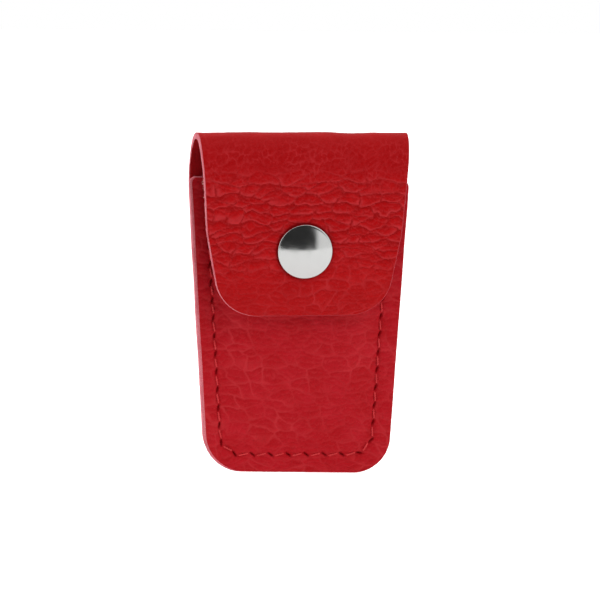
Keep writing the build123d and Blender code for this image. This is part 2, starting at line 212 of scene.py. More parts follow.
# The snap's axis is square to the flap, through the middle of its post: so far down the flap's fall.
POST_CENTRE = (low("cap_post") + high("cap_post")) / 2
POST_FROM_TOP = (SEAM_Y - POST_CENTRE[1] - FALL_TOP[0], POST_CENTRE[2] - FALL_TOP[1])
SNAP_DOWN = POST_FROM_TOP[0] * DOWNWARD[0] + POST_FROM_TOP[1] * DOWNWARD[1]


def in_case(x, depth, height):
    """Points in the case's own frame, in metres."""
    askew = x - SKEW * (height - SKEW_MIDDLE)
    return np.stack([askew, SEAM_Y - depth, height], axis=-1) * MM


# ---------------------------------------------------------------- grain
TABLE = 64                # the random tables repeat after so many cells


def lattice(seed):
    """A square table of random numbers from 0 to 1."""
    return np.random.default_rng(seed).random((TABLE, TABLE))


def wander(u, v, seed):
    """Smooth random height from -1 to 1, one swell for each unit of u and v."""
    table = lattice(seed) * 2 - 1
    iu, iv = np.floor(u).astype(int), np.floor(v).astype(int)
    fu, fv = u - iu, v - iv
    wu, wv = fu * fu * (3 - 2 * fu), fv * fv * (3 - 2 * fv)

    def at(a, b):
        return table[(iu + a) % TABLE, (iv + b) % TABLE]

    return (at(0, 0) * (1 - wu) + at(1, 0) * wu) * (1 - wv) + (at(0, 1) * (1 - wu) + at(1, 1) * wu) * wv


def cells(u, v, seed):
    """Irregular cells, about one for each unit square: (distance to the border, centre's v, tone)."""
    across, along, tone = lattice(seed), lattice(seed + 1), lattice(seed + 2)
    iu, iv = np.floor(u).astype(int), np.floor(v).astype(int)
    near = np.full(u.shape, 9.0)
    second = np.full(u.shape, 9.0)
    centre_v = np.zeros(u.shape)
    shade = np.zeros(u.shape)
    for du in (-2, -1, 0, 1, 2):
        for dv in (-2, -1, 0, 1, 2):
            a, b = (iu + du) % TABLE, (iv + dv) % TABLE
            cu = iu + du + 0.5 + 0.86 * (across[a, b] - 0.5)
            cv = iv + dv + 0.5 + 0.86 * (along[a, b] - 0.5)
            far = np.hypot(cu - u, cv - v)
            first = far < near
            second = np.where(first, near, np.minimum(second, far))
            centre_v = np.where(first, cv, centre_v)
            shade = np.where(first, tone[a, b], shade)
            near = np.where(first, far, near)
    return second - near, centre_v, shade


def ease(low_end, high_end, value):
    """0 below low_end, 1 above high_end, and smooth between."""
    share = np.clip((value - low_end) / (high_end - low_end), 0, 1)
    return share * share * (3 - 2 * share)


# Kinds of pebble: width, length, seed, width of the crease between two, overlap like shingles.
BIG_PEBBLES = (4.1, 2.9, 31, 0.15, 0.3)
ROW_PEBBLES = (4.7, 2.25, 41, 0.18, 0.8)
SMALL_PEBBLES = (1.5, 1.1, 51, 0.34, 0.5)
WRINKLES = (1.25, 2.3, 67, 0.3, 0.3)
RIMMED = 0.4              # pebbles that overlap less than this have a painted pale highlight rim all round


def pebbles(x, run, kind, down):
    """Grain pebbles of one kind: (height, crease, lip, tone), each from 0 to 1.

    down is 1 where run goes down the case and -1 where it goes up. Gravity and
    wear leave each pebble's lower lip raised over the crease below it. The crease
    mask is painted shade in the creases and on each pebble's upper part, and the
    lip mask is painted highlight on the lower lips and rims.
    """
    width, length, seed, crease, shingle = kind
    gap, centre, tone = cells(x / width, run / length, seed)
    below = down * (run / length - centre)
    level = ease(0.06, 0.24, np.abs(below))
    border = 1 - ease(0.0, crease, gap)
    valley = border * (0.25 + 0.75 * level)
    dome = 1 - (1 - np.clip(gap / 0.75, 0, 1)) ** 2.2
    tilt = np.clip(below * shingle, -0.5, 0.5) * (1 - valley)
    ring = 1 - ease(0.03, 0.15, gap)
    lip = ease(0.0, 0.34, below) * ease(0.02, 0.11, gap) * (1 - ease(0.14, 0.50, gap))
    upper = ease(0.05, 0.35, -below) * (1 - ease(0.10, 0.55, gap))
    # dark is painted shade in the valleys and on the upper parts, which face up; lip is painted highlight on
    # the lower lips, which face the bright floor.
    if shingle < RIMMED:
        lip, dark = np.maximum(0.4 * lip, 0.8 * ring), 0.7 * upper
    else:
        lip, dark = np.maximum(lip, 0.5 * ring * (1 - level)), np.maximum(0.85 * valley * level, 0.75 * upper)
    return dome * 0.65 + 0.35 * (1 - valley) + tilt, dark, lip, tone


def grain(x, run, spread, down):
    """Relief of the grain side in millimetres, with its crease mask (painted shade), its lip mask (painted
    highlight) and its tone.

    spread is 0 where the pebbles are round and 1 where they lie in long rows.
    """
    # The pebbles' borders wander in three sizes.
    wx = x + 0.8 * wander(x / 3.1, run / 3.1, 11) + 0.32 * wander(x / 1.3, run / 1.3, 13)
    wr = run + 0.8 * wander(x / 4.2, run / 3.0, 17) + 0.28 * wander(x / 1.5, run / 1.2, 19)
    wx += 0.09 * wander(x / 0.45, run / 0.45, 21)
    wr += 0.09 * wander(x / 0.45, run / 0.45, 22)
    big = pebbles(wx + 0.35 * wr, wr, BIG_PEBBLES, down)
    row = pebbles(wx + 0.3 * wr, wr, ROW_PEBBLES, down)
    small = pebbles(wx, wr, SMALL_PEBBLES, down)
    round_cells = [0.11 * big[0] + 0.045 * small[0]]
    in_rows = [0.24 * row[0] + 0.07 * small[0]]
    fading = 0.55 + 0.45 * wander(x / 4.5, run / 4.5, 37)
    for number, small_share in ((1, 0.55), (2, 0.35)):
        round_cells.append(np.maximum(big[number] * fading, small_share * small[number]))
        in_rows.append(np.maximum(row[number], 0.55 * small[number]))
    height, crease, lip = [(1 - spread) * a + spread * b for a, b in zip(round_cells, in_rows)]
    tone = 0.5 * ((1 - spread) * big[3] + spread * row[3]) + 0.5 * small[3]
    height += 0.06 * wander(x / 2.0, run / 2.0, 23) + 0.12 * wander(x / 7.0, run / 6.0, 29)
    height += 0.012 * wander(x / 0.35, run / 0.35, 24)
    return height, crease, lip, tone


# Down the flap, in millimetres past the roll: where each change of the grain begins and is complete.
ROWS_BEGIN = (-6.0, 2.0)
ROWS_END = (15.0, 25.0)
SMOOTH_END = (-5.0, 3.5)  # the stretch drawn smooth begins at the roll, 2 mm along it
# The band of painted shade under the roll:
UNDER_ROLL_SHADE_BEGIN = (-13.0, -9.0)
UNDER_ROLL_SHADE_END = (-3.0, 2.5)
UPRIGHT_BEGIN = (-12.0, -7.0)
UPRIGHT_END = (1.0, 6.0)
LOWER_FLAP = (19.0, 27.0)
FLATTER = (22.0, 30.0)


def strap_grain(x, run):
    """Grain of the long piece: round pebbles on the back, drawn smooth over the roll, rows on the flap."""
    fall = run - RUN_FALL
    down = np.where(run > RUN_TOP, 1.0, -1.0)
    wavy = fall + 2.0 * wander(x / 9.0, run / 9.0, 61)
    spread = ease(*ROWS_BEGIN, fall) * (1 - ease(*ROWS_END, wavy))
    height, crease, lip, tone = grain(x, run, spread, down)
    drawn_over = ease(RUN_ROLL - 8, RUN_ROLL + 2, run) * (1 - ease(*SMOOTH_END, wavy))
    height, crease, lip = [part * (1 - 0.6 * drawn_over) for part in (height, crease, lip)]
    # Just under the roll the grain is drawn into fine upright wrinkles.
    upright = ease(*UPRIGHT_BEGIN, fall) * (1 - ease(*UPRIGHT_END, fall))
    drift = x + 0.55 * wander(x / 1.6, run / 1.6, 63) + 0.8 * wander(x / 4, run / 4, 65)
    fine = pebbles(drift + 0.3 * run, run + 0.4 * wander(x / 1.3, run / 1.3, 66), WRINKLES, 1.0)
    height += 0.05 * upright * (fine[0] - 0.5)
    crease = np.maximum(crease, 0.5 * upright * fine[1])
    lip = np.maximum(lip, upright * fine[2] * (0.6 + 0.4 * wander(x / 3, run / 3, 68)))
    # Just under the roll the crease and tone masks darken a band: painted shade, where the leather faces up
    # into the dark and shows no sheen.
    under_roll_shade = ease(*UNDER_ROLL_SHADE_BEGIN, fall) * (1 - ease(*UNDER_ROLL_SHADE_END, fall))
    crease = np.maximum(crease, 0.4 * under_roll_shade)
    tone = np.maximum(tone, under_roll_shade)
    height += 0.16 * drawn_over * wander(x / 5.5, run / 9.0, 69)
    # The lower flap is finer and flatter.
    crease = np.maximum(crease, 0.2 * ease(*LOWER_FLAP, wavy))
    height *= 1 - 0.2 * ease(*FLATTER, fall)
    # The cap presses into the leather round it.
    reach = np.hypot(x - CAP_CENTRE[0], run - RUN_SNAP)
    pressed = np.exp(-((np.maximum(reach - CAP_RADIUS + 0.4, 0) / 1.2) ** 2))
    height = height * (1 - 0.7 * pressed) - 0.22 * pressed
    # The crease mask round the cap is painted shadow under its rim.
    crease = np.maximum(crease, 0.9 * np.exp(-((np.maximum(reach - CAP_RADIUS + 0.1, 0) / 0.45) ** 2)))
    return height - 0.14, crease, lip, tone


def panel_grain(x, run):
    """Grain of the front panel: large round pebbles."""
    height, crease, lip, tone = grain(x * 0.9 + 40, run * 0.95 + 57, np.zeros_like(x) + 0.05, -1.0)
    return height * 0.9 - 0.13, crease, lip, tone


# ---------------------------------------------------------------- seam
def body_half_width(height):
    """Half the body's width, up to the mouth."""
    return FOOT_HALF_WIDTH + (MOUTH_HALF_WIDTH - FOOT_HALF_WIDTH) * height / MOUTH_HEIGHT


def travelled(line):
    """How far along a line each of its points lies."""
    return np.concatenate([[0], np.cumsum(np.hypot(*np.diff(line, axis=0).T))])


def rounded(points, radii, step):
    """A fine polyline through the points, with each inner corner rounded to its radius."""
    points = [np.array(p, float) for p in points]
    line = [points[0]]
    for before, corner, after, radius in zip(points, points[1:], points[2:], radii):
        back = (before - corner) / np.linalg.norm(before - corner)
        on = (after - corner) / np.linalg.norm(after - corner)
        half = np.arccos(np.clip(back @ on, -1, 1)) / 2
        if radius == 0 or half > pi / 2 - 1e-3:
            line.append(corner)
            continue
        middle = (back + on) / np.linalg.norm(back + on)
        centre = corner + middle * radius / sin(half)
        first = corner + back * radius / tan(half)
        last = corner + on * radius / tan(half)
        a, b = first - centre, last - centre
        turn = pi - 2 * half
        for share in np.linspace(0, 1, 60):
            line.append(centre + (a * sin((1 - share) * turn) + b * sin(share * turn)) / sin(turn))
    line.append(points[-1])
    line = np.array(line)
    steps = np.hypot(*np.diff(line, axis=0).T)
    line = line[np.concatenate([[True], steps > 1e-9])]
    along = travelled(line)
    count = max(2, int(along[-1] / step) + 1)
    at = np.linspace(0, along[-1], count)
    return np.stack([np.interp(at, along, line[:, 0]), np.interp(at, along, line[:, 1])], axis=-1)


def seam_track():
    """The needle holes, down the left side, along the foot and up the right."""
    top = MOUTH_HEIGHT - SEAM_TOP_GAP
    foot_x = body_half_width(SEAM_FOOT) - SEAM_INSET
    top_x = body_half_width(top) - SEAM_INSET
    corners = [
        (-top_x - SEAM_SHIFT, top), (-foot_x - SEAM_SHIFT, SEAM_FOOT + 0.5 * FOOT_RISE_LEFT),
        (foot_x - SEAM_SHIFT, SEAM_FOOT - 0.3 * FOOT_RISE_LEFT), (top_x - SEAM_SHIFT, top),
    ]
    bend = BODY_CORNER - SEAM_INSET
    line = rounded(corners, [bend, bend], 0.05)
    count = round(travelled(line)[-1] / STITCH_PITCH)
    places = np.linspace(0, len(line) - 1, count + 1).round().astype(int)
    return line[places]


SEAM_HOLES = seam_track()


def slit_heading(ahead, side):
    """Which way a slit points, from the way the seam runs past it."""
    along = np.arctan2(ahead[1], ahead[0])
    return along - side * radians(SLIT_SLANT + FOOT_SLANT * abs(cos(along)))


def seam_sink(x, run, side):
    """How deep the stitching has pulled the grain in, and a mask of the slits, for painted shade in them.

    side is 1 in front and -1 behind.
    """
    sink = np.zeros_like(x)
    slit = np.zeros_like(x)
    near = np.full(x.shape, 99.0)
    for start, end in zip(SEAM_HOLES, SEAM_HOLES[1:]):
        leg = end - start
        share = np.clip(((x - start[0]) * leg[0] + (run - start[1]) * leg[1]) / (leg @ leg), 0, 1)
        near = np.minimum(near, np.hypot(x - start[0] - share * leg[0], run - start[1] - share * leg[1]))
    sink += GROOVE_DEPTH * np.exp(-((near / (GROOVE_WIDTH / 2)) ** 2))
    sink += DRAW_IN * np.exp(-((near / DRAW_IN_ALONG) ** 2))
    for k, hole in enumerate(SEAM_HOLES):
        ahead = SEAM_HOLES[min(k + 1, len(SEAM_HOLES) - 1)] - SEAM_HOLES[max(k - 1, 0)]
        heading = slit_heading(ahead, side)
        dx, dr = x - hole[0], run - hole[1]
        along = dx * cos(heading) + dr * sin(heading)
        aside = -dx * sin(heading) + dr * cos(heading)
        deep = np.exp(-((along / (SLIT_LENGTH / 2)) ** 4) - (aside / (SLIT_WIDTH / 2)) ** 2)
        sink += SLIT_DEPTH * deep
        sink += DRAW_IN * np.exp(-((np.hypot(dx, dr) / DRAW_IN_ROUND) ** 2))
        slit = np.maximum(slit, deep)
    return sink, slit


# ---------------------------------------------------------------- bending the flat leather
def place_strap(x, run, inside):
    """The long piece: up the back, over the roll, down the fall and round the curled tip."""
    x, run, inside = np.broadcast_arrays(x, run, inside)

    def arc(centre, radius, first_run, first_bend, side):
        bend, reach = first_bend + (run - first_run) / radius, side * (radius - inside)
        return centre[0] - reach * np.cos(bend), centre[1] + reach * np.sin(bend)

    down = run - RUN_FALL
    fall = [FALL_TOP[k] + DOWNWARD[k] * down - FORWARD[k] * inside for k in (0, 1)]
    stretches = (
        (RUN_ROLL, arc(ROLL_CENTRE, ROLL_RADIUS, RUN_ROLL, 0.0, 1)),
        (RUN_SLOW, arc(SLOW_CENTRE, SLOW_RADIUS, RUN_SLOW, SLOW_START, 1)),
        (RUN_FALL, fall),
        (RUN_CURL, arc(CURL_CENTRE, CURL_RADIUS, RUN_CURL, LEAN, -1)),
    )
    depth, height = BACK_FACE + inside, run.astype(float)
    for first_run, (depth_there, height_there) in stretches:
        depth = np.where(run > first_run, depth_there, depth)
        height = np.where(run > first_run, height_there, height)
    return in_case(x, depth, height)


def soft_least(a, b, softness):
    """The smaller of two values, with the change from one to the other rounded."""
    share = np.clip(0.5 + (b - a) / (2 * softness), 0, 1)
    return b + (a - b) * share - softness * share * (1 - share)


def panel_depth(x, height):
    """Depth of the front panel's grain side: flat margin, side ramps, and the raised middle."""
    slant = (MOUTH_HALF_WIDTH - FOOT_HALF_WIDTH) / MOUTH_HEIGHT
    inward = FOOT_HALF_WIDTH - RAMP_INSET + slant * height - np.abs(x)
    ramp = inward * tan(radians(RAMP_ANGLE)) + LEATHER / cos(radians(RAMP_ANGLE))
    middle = MOUTH_RISE - (MOUTH_HEIGHT - height) * tan(LEAN) + LEATHER / cos(LEAN)
    raised = soft_least(middle, ramp, RAMP_SOFTNESS)
    return -soft_least(-LEATHER, -raised, MARGIN_SOFTNESS)


def place_panel(x, run, inside):
    """The front panel. Its run is its height."""
    x, run, inside = np.broadcast_arrays(x, run, inside)
    step = 0.02
    depth = panel_depth(x, run)
    across = (panel_depth(x + step, run) - panel_depth(x - step, run)) / (2 * step)
    upward = (panel_depth(x, run + step) - panel_depth(x, run - step)) / (2 * step)
    size = np.sqrt(1 + across**2 + upward**2)
    return in_case(x + inside * across / size, depth - inside / size, run + inside * upward / size)


# ---------------------------------------------------------------- objects
def in_scene(name, data):
    """A mesh, a camera or a lamp as an object in the scene."""
    made = bpy.data.objects.new(name, data)
    bpy.context.scene.collection.objects.link(made)
    return made


def simple_mesh(name, points, faces, material, smooth):
    """A mesh of one finish, from points in metres."""
    mesh = bpy.data.meshes.new(name)
    mesh.from_pydata(points.tolist(), [], faces)
    mesh.polygons.foreach_set("use_smooth", [smooth] * len(faces))
    mesh.materials.append(material)
    return mesh


# ---------------------------------------------------------------- sheet of leather
WALL = [                  # (in from the cut edge as a share of the bevel, in from the grain side in mm)
    (0.55, 0.03), (0.2, 0.1), (0.0, 0.26), (0.0, 0.55), (0.0, 0.9),
    (0.0, 1.2), (0.1, 1.42), (0.3, 1.54), (0.6, 1.59),
]
COARSE = 3                # the flesh side has one vertex for every three on the grain side
GRAIN_SIDE, CUT_EDGE, FLESH_SIDE = 0, 1, 2   # the order of a sheet's finishes


def edge_rows(points, radii, spacing, rows):
    """One side of an outline as rows: (x, run, outward x, outward run), a row every spacing(run) or so."""
    line = rounded(points, radii, 0.01)
    first = np.argmax(np.abs(line[:, 1] - line[0, 1]) > 1e-4)
    last = len(line) - np.argmax(np.abs(line[::-1, 1] - line[-1, 1]) > 1e-4)
    line = line[max(first - 1, 0):last + 1]
    along = travelled(line)
    share = np.concatenate([[0], np.cumsum(np.diff(along) / spacing(line[1:, 1]))])
    rows = rows or int(np.ceil(share[-1] / COARSE)) * COARSE
    at = np.interp(np.linspace(0, share[-1], rows + 1), share, along)
    x, run = np.interp(at, along, line[:, 0]), np.interp(at, along, line[:, 1])
    out_x, out_run = np.gradient(run, at), -np.gradient(x, at)
    out_x[0], out_run[0] = 0.0, -1.0
    out_x[-1], out_run[-1] = 0.0, 1.0
    size = np.hypot(out_x, out_run)
    return x, run, out_x / size, out_run / size


def both_edges(outlines, spacing):
    """The left and the right side's rows, as many on each, from the outline and radii of each side."""
    left = edge_rows(*outlines[0], spacing, None)
    return left, edge_rows(*outlines[1], spacing, len(left[0]) - 1)


def grain_grid(left_edge, right_edge, side_bevels, columns, seed):
    """The grain side's vertices, flat, from one side's bevel to the other's: (x, run)."""
    share = np.linspace(0, 1, columns)
    ends = []
    for (x, run, out_x, out_run), bevel, offset in zip((left_edge, right_edge), side_bevels, (5.5, 0.5)):
        drift = EDGE_WANDER * wander(run / 9.0, run * 0 + offset, seed)
        ends.append((x - out_x * bevel + drift, run - out_run * bevel))
    (left_x, left_run), (right_x, right_run) = ends
    grid_x = -left_x[:, None] * (1 - share) + right_x[:, None] * share
    grid_run = left_run[:, None] * (1 - share) + right_run[:, None] * share
    return grid_x, grid_run


def once_round(grid):
    """The border of a grid of numbers, once round."""
    return np.concatenate([grid[0, :], grid[1:, -1], grid[-1, -2::-1], grid[-2:0:-1, 0]])


def quads(upper_left, upper_right, lower_right, lower_left):
    """Faces of four vertices each, from four tables of vertex numbers."""
    return np.stack([upper_left, upper_right, lower_right, lower_left], axis=-1).reshape(-1, 4)


def leather_sheet(left_edge, right_edge, bevels, columns, place, surface, seed):
    """A closed sheet of leather: its vertices, faces and what the finish needs to know about them.

    bevels are how far in from the cut the grain stops, on the left, on the right and at both ends.
    """
    rows = len(left_edge[0])
    side_bevels = []
    for edge, bevel in ((left_edge, bevels[0]), (right_edge, bevels[1])):
        side_bevels.append(bevels[2] + (bevel - bevels[2]) * np.abs(edge[2]))
    grid_x, grid_run = grain_grid(left_edge, right_edge, side_bevels, columns, seed)
    height, masks = surface(grid_x, grid_run)
    index = np.arange(rows * columns).reshape(rows, columns)
    ring = once_round(index)

    def round_the_ring(first, last, left, right):
        """A value for each vertex of the ring, from the values along the four sides."""
        values = np.zeros((rows, columns))
        values[0, :], values[-1, :] = first, last
        values[:, 0], values[:, -1] = left, right
        return values.ravel()[ring]

    out_x = round_the_ring(0.0, 0.0, -left_edge[2], right_edge[2])
    out_run = round_the_ring(-1.0, 1.0, left_edge[3], right_edge[3])
    bevel = round_the_ring(bevels[2], bevels[2], *side_bevels)
    ring_x, ring_run, ring_height = [values.ravel()[ring] for values in (grid_x, grid_run, height)]

    # Vertices: the grain side, the loops down the cut edge, and the flesh side.
    flat = [np.stack([grid_x.ravel(), grid_run.ravel(), np.zeros(rows * columns)], axis=-1)]
    lifts = [height.ravel()]
    fray = np.random.default_rng(seed).normal(0, 1, (len(WALL), len(ring)))
    fray = (fray + np.roll(fray, 1, 1) + np.roll(fray, -1, 1)) / 3
    for number, (inset, inside) in enumerate(WALL):
        push = bevel * (1 - inset) + EDGE_FRAY * fray[number] * (0.3 + inside)
        loop_x, loop_run = ring_x + out_x * push, ring_run + out_run * push
        flat.append(np.stack([loop_x, loop_run, np.full(len(ring), inside)], axis=-1))
        lifts.append(ring_height * (1 - inside / LEATHER))
    coarse = index[::COARSE, ::COARSE]
    flesh_x, flesh_run = grid_x.ravel()[coarse].ravel(), grid_run.ravel()[coarse].ravel()
    flat.append(np.stack([flesh_x, flesh_run, np.full(coarse.size, LEATHER)], axis=-1))
    lifts.append(NAP * wander(flesh_x / 0.7, flesh_run / 0.7, seed + 3) - NAP)
    flat, lift = np.concatenate(flat), np.concatenate(lifts)
    points = place(flat[:, 0], flat[:, 1], flat[:, 2] - lift)

    count = rows * columns
    loops = [ring] + [count + number * len(ring) + np.arange(len(ring)) for number in range(len(WALL))]
    flesh = count + len(WALL) * len(ring) + np.arange(coarse.size).reshape(coarse.shape)
    faces, face_rows, finish = [], [], []

    def add(made, first_rows, side):
        faces.extend(made.tolist())
        face_rows.extend(first_rows.tolist())
        finish.extend([side] * len(made))

    grain_rows = np.repeat(np.arange(rows - 1), columns - 1)
    add(quads(index[:-1, :-1], index[:-1, 1:], index[1:, 1:], index[1:, :-1]), grain_rows, GRAIN_SIDE)
    ring_row = np.minimum(ring // columns, rows - 2)
    after = np.roll(np.arange(len(ring)), -1)
    segment_row = np.minimum(ring_row, ring_row[after])
    for outer, inner in zip(loops, loops[1:]):
        add(quads(outer[after], outer, inner, inner[after]), segment_row, CUT_EDGE)
    flesh_rows = COARSE * np.repeat(np.arange(flesh.shape[0] - 1), flesh.shape[1] - 1)
    add(quads(flesh[:-1, :-1], flesh[1:, :-1], flesh[1:, 1:], flesh[:-1, 1:]), flesh_rows, FLESH_SIDE)
    # The flesh side's border joins each of its vertices to COARSE of the last loop's.
    flesh_ring, last = once_round(flesh), loops[-1]
    for k in range(len(flesh_ring)):
        fine = [int(last[(COARSE * k + j) % len(ring)]) for j in range(COARSE, -1, -1)]
        faces.append(fine + [int(flesh_ring[k]), int(flesh_ring[(k + 1) % len(flesh_ring)])])
        face_rows.append(int(segment_row[COARSE * k] // COARSE * COARSE))
        finish.append(FLESH_SIDE)

    beyond = np.zeros(len(points) - count)
    return {
        "points": points, "flat": flat, "faces": faces, "rows": np.array(face_rows),
        "finish": np.array(finish), "grid": index, "loops": loops, "flesh": flesh,
        "masks": {key: np.concatenate([values.ravel(), beyond]) for key, values in masks.items()},
        "runs": grid_run[:, columns // 2], "normals": smooth_normals(points, faces),
    }


def smooth_normals(points, faces):
    """A normal for every vertex, from the faces round it."""
    normals = np.zeros_like(points)
    for size in {len(face) for face in faces}:
        group = np.array([face for face in faces if len(face) == size])
        corners = points[group]
        area = np.zeros((len(group), 3))
        for k in range(1, size - 1):
            area += np.cross(corners[:, k] - corners[:, 0], corners[:, k + 1] - corners[:, 0])
        for k in range(size):
            np.add.at(normals, group[:, k], area)
    return normals / np.maximum(np.linalg.norm(normals, axis=1, keepdims=True), 1e-20)


def cut_faces(sheet, row):
    """Faces that close the sheet where it is cut straight across, between grain and flesh side."""
    top, bottom = sheet["grid"][row], sheet["flesh"][row // COARSE]
    faces = []
    for k in range(len(bottom) - 1):
        upper = [int(v) for v in top[COARSE * k:COARSE * k + COARSE + 1]]
        faces.append(upper + [int(bottom[k + 1]), int(bottom[k])])
    for end in (0, -1):
        place_in_ring = int(np.nonzero(sheet["loops"][0] == top[end])[0][0])
        faces.append([int(loop[place_in_ring]) for loop in sheet["loops"]] + [int(bottom[end])])
    return faces


def leather_piece(name, sheet, first, last, finishes):
    """The part of a sheet between two rows, as a mesh object."""
    picked = np.nonzero((sheet["rows"] >= first) & (sheet["rows"] < last))[0]
    faces = [sheet["faces"][k] for k in picked]
    finish = sheet["finish"][picked].tolist()
    whole = len(faces)
    for row, is_cut in ((first, first > 0), (last, last < len(sheet["grid"]) - 1)):
        if is_cut:
            ends = cut_faces(sheet, row)
            if row == first:
                ends = [face[::-1] for face in ends]
            faces += ends
            finish += [FLESH_SIDE] * len(ends)
    used = np.unique(np.concatenate([np.array(face) for face in faces]))
    renumber = np.zeros(len(sheet["points"]), int)
    renumber[used] = np.arange(len(used))
    points = sheet["points"][used]
    mesh = bpy.data.meshes.new(name)
    mesh.from_pydata(points.tolist(), [], [renumber[face].tolist() for face in faces])
    mesh.polygons.foreach_set("material_index", finish)
    mesh.polygons.foreach_set("use_smooth", [True] * len(faces))
    for key, values in sheet["masks"].items():
        mesh.attributes.new(key, "FLOAT", "POINT").data.foreach_set("value", values[used].astype(np.float32))
    flat = mesh.attributes.new("leather_mm", "FLOAT_VECTOR", "POINT")
    flat.data.foreach_set("vector", sheet["flat"][used].astype(np.float32).ravel())
    normals = sheet["normals"][used]
    corner_normals = []
    for number, polygon in enumerate(mesh.polygons):
        if number < whole:
            corner_normals += [normals[v] for v in polygon.vertices]
        else:
            corner_normals += [polygon.normal] * polygon.loop_total
    mesh.normals_split_custom_set([tuple(n) for n in corner_normals])
    for material in finishes:
        mesh.materials.append(material)
    return in_scene(name, mesh)


# ---------------------------------------------------------------- materials
def linear(red, green, blue):
    """A colour given as 0-255 display values, as the renderer's own."""
    def channel(value):
        value /= 255
        return value / 12.92 if value <= 0.04045 else ((value + 0.055) / 1.055) ** 2.4
    return channel(red), channel(green), channel(blue), 1.0


class Nodes:
    """Short ways to add and join nodes in one tree."""

    def __init__(self, tree):
        self.tree = tree

    def add(self, kind, settings=None, **inputs):
        node = self.tree.nodes.new(kind)
        for key, value in (settings or {}).items():
            setattr(node, key, value)
        self.dress(node, **inputs)
        return node

    def put(self, node, key, value):
        socket = node.inputs[int(key)] if key.isdigit() else node.inputs[key]
        if isinstance(value, bpy.types.NodeSocket):
            self.tree.links.new(value, socket)
        else:
            socket.default_value = value

    def dress(self, node, **inputs):
        """Give a node's own sockets their colours, numbers or links."""
        for key, value in inputs.items():
            self.put(node, key.replace("_", " "), value)

    def math(self, operation, a, b=0.0):
        node = self.tree.nodes.new("ShaderNodeMath")
        node.operation = operation
        self.put(node, "0", a)
        self.put(node, "1", b)
        return node.outputs[0]

    def mix(self, share, a, b):
        node = self.tree.nodes.new("ShaderNodeMix")
        node.data_type = "RGBA"
        self.put(node, "0", share)
        self.put(node, "6", a)
        self.put(node, "7", b)
        return node.outputs[2]

    def span(self, value, low_end, high_end, to_low=0.0, to_high=1.0):
        node = self.tree.nodes.new("ShaderNodeMapRange")
        node.interpolation_type = "SMOOTHSTEP"
        for key, number in zip("01234", (value, low_end, high_end, to_low, to_high)):
            self.put(node, key, number)
        return node.outputs[0]


def named(name):
    """A new material and its nodes, with a Principled shader ready."""
    material = bpy.data.materials.new(name)
    material.use_nodes = True
    nodes = Nodes(material.node_tree)
    shader = material.node_tree.nodes["Principled BSDF"]
    return material, nodes, shader


def fine_relief(nodes, shader, height, strength, depth):
    """Relief too fine for the mesh, as a bump of so many metres."""
    bump = nodes.add("ShaderNodeBump", Strength=strength, Distance=depth, Height=height)
    nodes.put(shader, "Normal", bump.outputs["Normal"])


def hide_texture_group():
    """Fine structure of finished hide, in flat leather millimetres: pores, fine cell lines and blotches."""
    tree = bpy.data.node_groups.new("fine_hide", "ShaderNodeTree")
    tree.interface.new_socket("Flat", in_out="INPUT", socket_type="NodeSocketVector")
    tree.interface.new_socket("Pore Size", in_out="INPUT", socket_type="NodeSocketFloat")
    for key in ("Height", "Blotch", "Lines"):
        tree.interface.new_socket(key, in_out="OUTPUT", socket_type="NodeSocketFloat")
    nodes = Nodes(tree)
    entry = tree.nodes.new("NodeGroupInput")
    leave = tree.nodes.new("NodeGroupOutput")
    flat, pore = entry.outputs["Flat"], entry.outputs["Pore Size"]
    rate = nodes.math("DIVIDE", 1.0, pore)
    fine = nodes.add("ShaderNodeTexNoise", Vector=flat, Detail=4.0, Roughness=0.62)
    nodes.put(fine, "Scale", nodes.math("MULTIPLY", rate, 1.3))
    cell = nodes.add("ShaderNodeTexVoronoi", {"feature": "DISTANCE_TO_EDGE"}, Vector=flat)
    nodes.put(cell, "Scale", rate)
    line = nodes.span(cell.outputs["Distance"], 0.0, 0.16, 1.0, 0.0)
    blotch = nodes.add("ShaderNodeTexNoise", Vector=flat, Scale=0.16, Detail=3.0, Roughness=0.55)
    height = nodes.math("SUBTRACT", fine.outputs["Fac"], nodes.math("MULTIPLY", line, 0.35))
    for key, value in (("Height", height), ("Blotch", blotch.outputs["Fac"]), ("Lines", line)):
        tree.links.new(value, leave.inputs[key])
    return tree


FINE_HIDE = hide_texture_group()
GRAIN_PORE = 0.42         # the size of the group's pores, in millimetres, on each surface of the leather
EDGE_PORE = 0.16
NAP_PORE = 0.3
PEBBLE_TONE_AND_SHADE_RED = linear(160, 0, 4)        # the darker pebbles, and painted shade in the band under the roll
# painted shade in the creases and on the pebbles' upper parts
CREASE_SHADE_RED = linear(132, 0, 2)
# painted shade in the slits and on the line round the cap
SLIT_SHADE_RED = linear(132, 0, 4)
LINE_HIGHLIGHT_RED = linear(206, 56, 62)      # painted highlight along the fine cell lines
LIP_HIGHLIGHT_RED = linear(210, 60, 66)      # painted highlight on the pebbles' lower lips and rims


def hide(nodes, pore):
    """The fine hide group in a material, and the leather's flat coordinates."""
    flat = nodes.add("ShaderNodeAttribute", {"attribute_name": "leather_mm"})
    group = nodes.tree.nodes.new("ShaderNodeGroup")
    group.node_tree = FINE_HIDE
    nodes.put(group, "Flat", flat.outputs["Vector"])
    group.inputs["Pore Size"].default_value = pore
    return group, flat.outputs["Vector"]


def mask(nodes, name):
    """A number stored on the leather's vertices."""
    return nodes.add("ShaderNodeAttribute", {"attribute_name": name}).outputs["Fac"]


